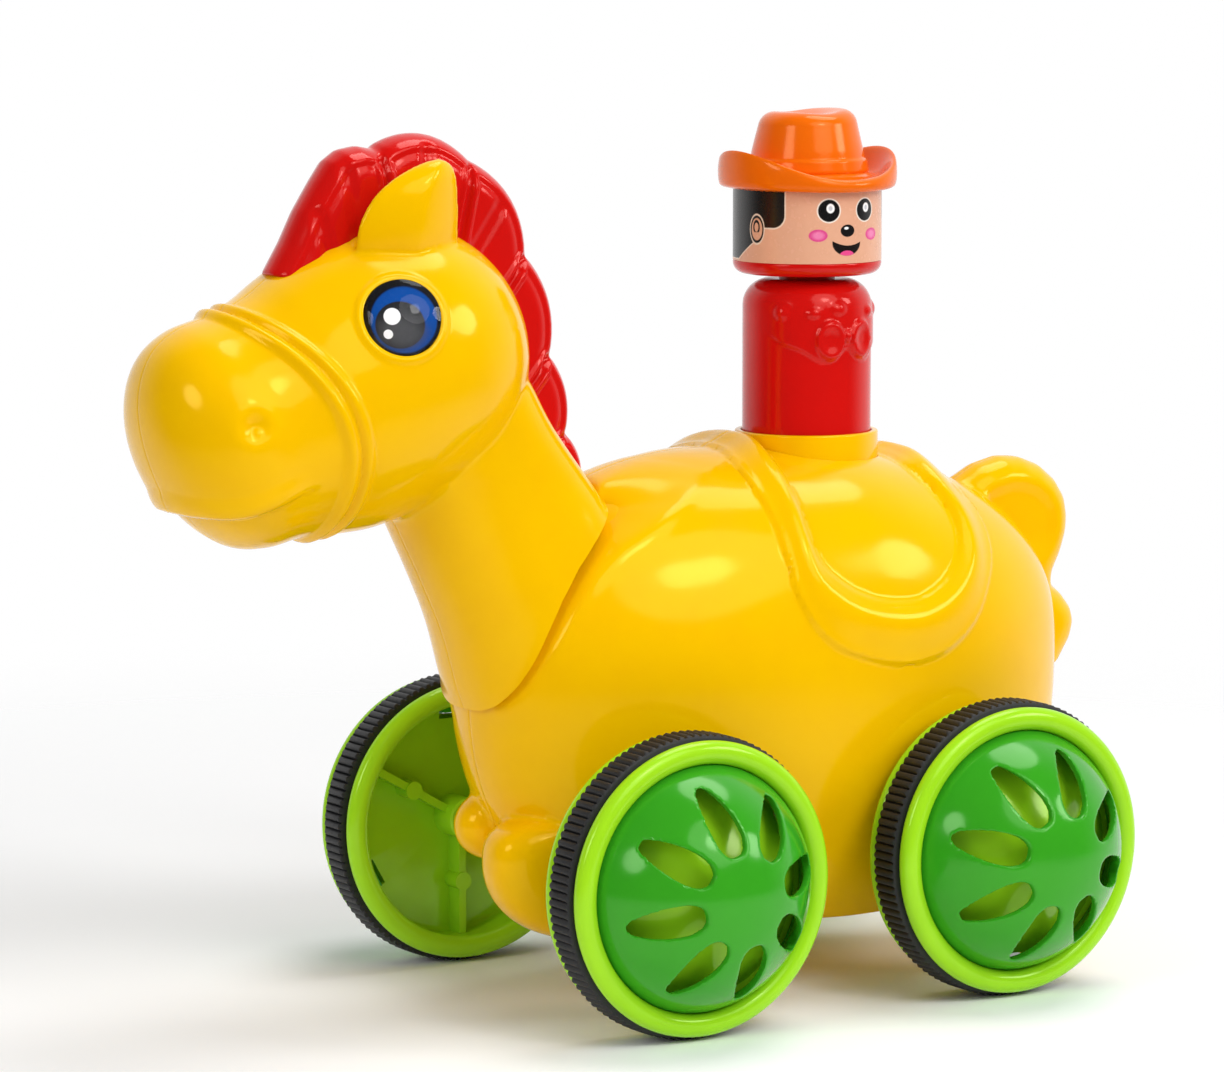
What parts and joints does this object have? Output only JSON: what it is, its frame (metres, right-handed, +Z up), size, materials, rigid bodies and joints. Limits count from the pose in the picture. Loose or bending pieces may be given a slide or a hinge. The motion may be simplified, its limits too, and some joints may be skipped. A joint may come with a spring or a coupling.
{
  "type": "press-and-go toy horse on wheels",
  "caption": "Moulded plastic toy horse on ribbed wheels: a round cowboy rider is pressed down to drive the rear axle through hidden gears, and the neck can nod.",
  "frame": {"origin": "middle of the box around the toy, on the floor under its wheels", "axes": "+X to the horse's nose, +Y to its left, +Z up"},
  "size_m": [0.2209, 0.1336, 0.1775],
  "materials": {
    "yellow_plastic": "glossy moulded plastic",
    "red_plastic": "glossy moulded plastic",
    "orange_plastic": "glossy moulded plastic",
    "lime_plastic": "glossy moulded plastic",
    "green_plastic": "glossy moulded plastic",
    "tyre_rubber": "soft ribbed rubber",
    "face_print": "glossy printed film",
    "eye_print": "printed disc",
    "eye_clear": "clear glossy dome",
    "white_plastic": "plain moulded plastic",
    "grey_plastic": "plain moulded plastic",
    "steel": "bright steel"
  },
  "bodies": {
    "body": {"body_left_shell": "yellow_plastic", "body_right_shell": "yellow_plastic", "body_screws": "steel", "saddle_collar": "yellow_plastic", "nod_pin": "steel", "gearbox_left_plate": "grey_plastic", "gearbox_right_plate": "grey_plastic", "gearbox_screws": "steel", "drive_shaft": "steel", "swing_shaft": "steel", "return_spring": "steel"},
    "head": {"head_left_shell": "yellow_plastic", "head_right_shell": "yellow_plastic", "head_screws": "steel", "nod_arm": "white_plastic", "mane": "red_plastic", "left_eye": "eye_print", "right_eye": "eye_print", "left_eye_lens": "eye_clear", "right_eye_lens": "eye_clear"},
    "rider": {"rider_body": "red_plastic", "rider_head": "red_plastic", "face_wrap": "face_print", "hat": "orange_plastic", "press_rack": "white_plastic"},
    "drive_gear": {"drive_gear": "white_plastic"},
    "swing_gear": {"swing_gear": "white_plastic"},
    "front_wheels": {"front_axle": "steel", "front_left_rim": "lime_plastic", "front_right_rim": "lime_plastic", "front_left_tyre": "tyre_rubber", "front_right_tyre": "tyre_rubber", "front_left_cap": "green_plastic", "front_right_cap": "green_plastic"},
    "rear_wheels": {"rear_axle": "steel", "axle_gear": "white_plastic", "rear_left_rim": "lime_plastic", "rear_right_rim": "lime_plastic", "rear_left_tyre": "tyre_rubber", "rear_right_tyre": "tyre_rubber", "rear_left_cap": "green_plastic", "rear_right_cap": "green_plastic"}
  },
  "joints": [
    {"name": "press", "type": "slide", "parent": "body", "child": "rider", "axis": [0, 0, -1], "range_m": [0, 0.022], "stiffness_N_per_m": 350, "springref_m": -0.012, "deforming": ["return_spring"]},
    {"name": "drive_turn", "type": "hinge", "parent": "body", "child": "drive_gear", "pos_m": [-0.0525, 0, 0.0615], "axis": [0, 1, 0], "range_deg": [-30, 300]},
    {"name": "swing_turn", "type": "hinge", "parent": "body", "child": "swing_gear", "pos_m": [-0.04901, 0, 0.04079], "axis": [0, 1, 0], "range_deg": [-600, 60]},
    {"name": "nod", "type": "hinge", "parent": "body", "child": "head", "pos_m": [0.003, 0, 0.066], "axis": [0, -1, 0], "range_deg": [0, 7]},
    {"name": "front_roll", "type": "hinge", "parent": "body", "child": "front_wheels", "pos_m": [0.016, 0, 0.03], "axis": [0, 1, 0], "continuous": true},
    {"name": "rear_roll", "type": "hinge", "parent": "body", "child": "rear_wheels", "pos_m": [-0.06, 0, 0.03], "axis": [0, 1, 0], "continuous": true}
  ],
  "couplings": [
    {"joint": "drive_turn", "follows": "press", "rad_per_m": 166.67},
    {"joint": "swing_turn", "follows": "press", "rad_per_m": -333.33}
  ]
}
